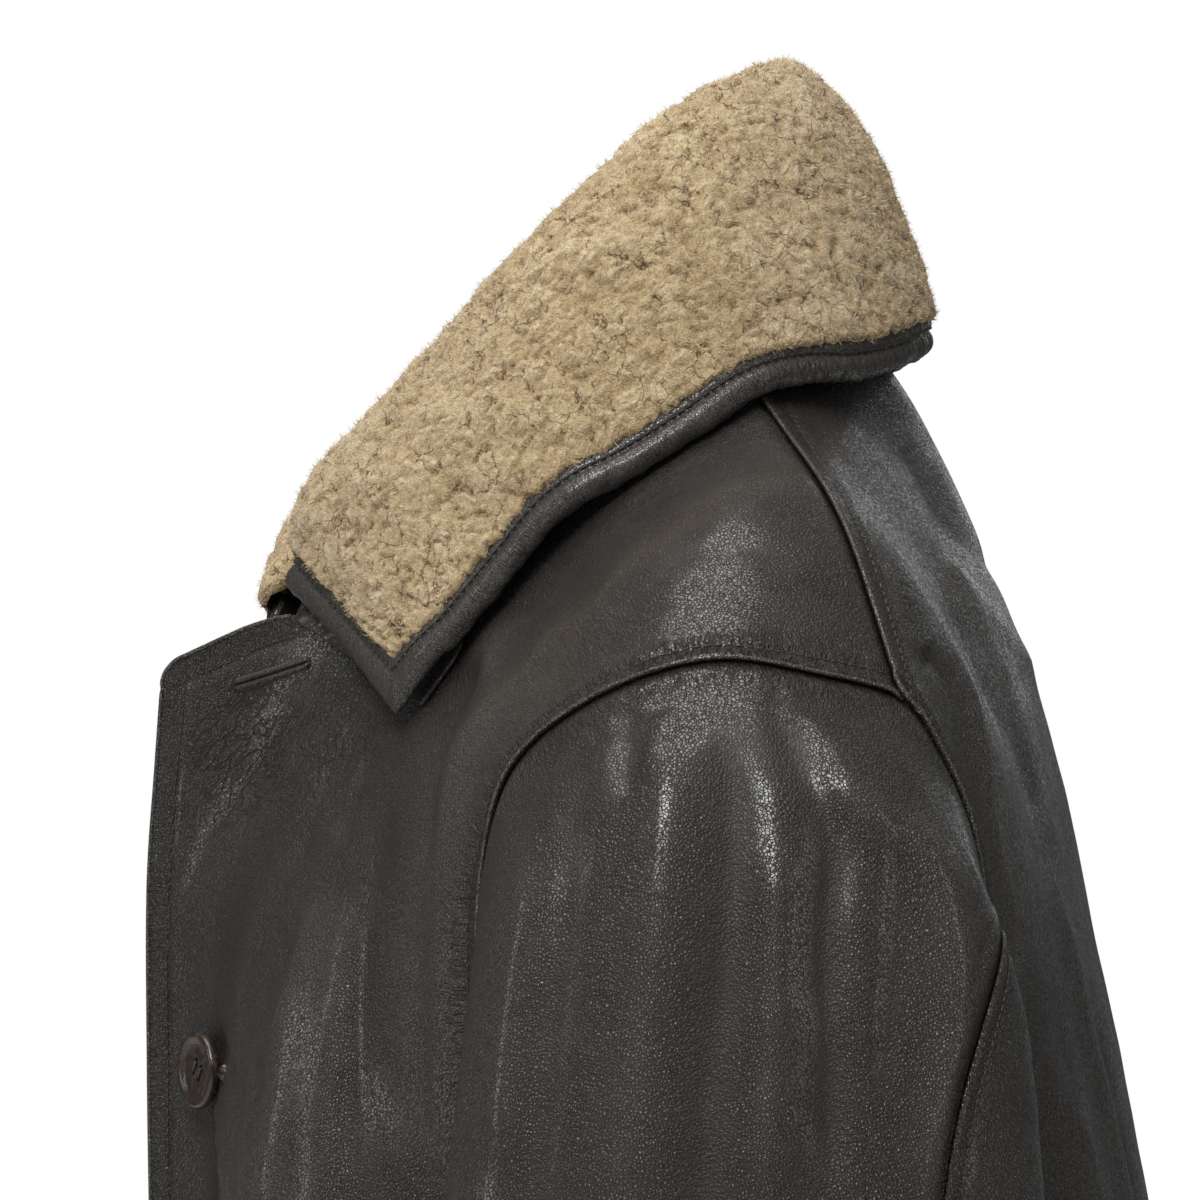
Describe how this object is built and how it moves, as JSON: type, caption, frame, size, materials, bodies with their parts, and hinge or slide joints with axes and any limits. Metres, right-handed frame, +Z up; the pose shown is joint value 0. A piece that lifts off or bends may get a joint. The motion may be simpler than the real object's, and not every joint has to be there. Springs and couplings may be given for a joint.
{
  "type": "car coat",
  "caption": "Leather car coat with a turned-down shearling collar, rolled leather collar edge and buttoned front, held in its worn shape.",
  "frame": {"origin": "base of the neck, in the middle of the collar seam, where a wearer or stand holds the coat up", "axes": "+Z up towards the collar, -Y the way the front faces, +X towards the wearer's left sleeve"},
  "size_m": [0.66, 0.3831, 0.9863],
  "materials": {
    "leather": "semi-gloss",
    "shearling": "matte",
    "horn": "satin"
  },
  "bodies": {
    "root": {"front_left": "leather", "front_right": "leather", "back": "leather", "sleeve_top_left": "leather", "sleeve_top_right": "leather", "sleeve_under_left": "leather", "sleeve_under_right": "leather", "collar_fur": "shearling", "collar_under": "leather", "collar_border": "leather", "collar_tab": "leather", "buttonhole_1": "leather", "buttonhole_2": "leather", "buttonhole_3": "leather", "buttonhole_4": "leather", "buttonhole_5": "leather", "button_1": "horn", "button_2": "horn", "button_3": "horn", "button_4": "horn", "button_5": "horn"}
  },
  "joints": []
}
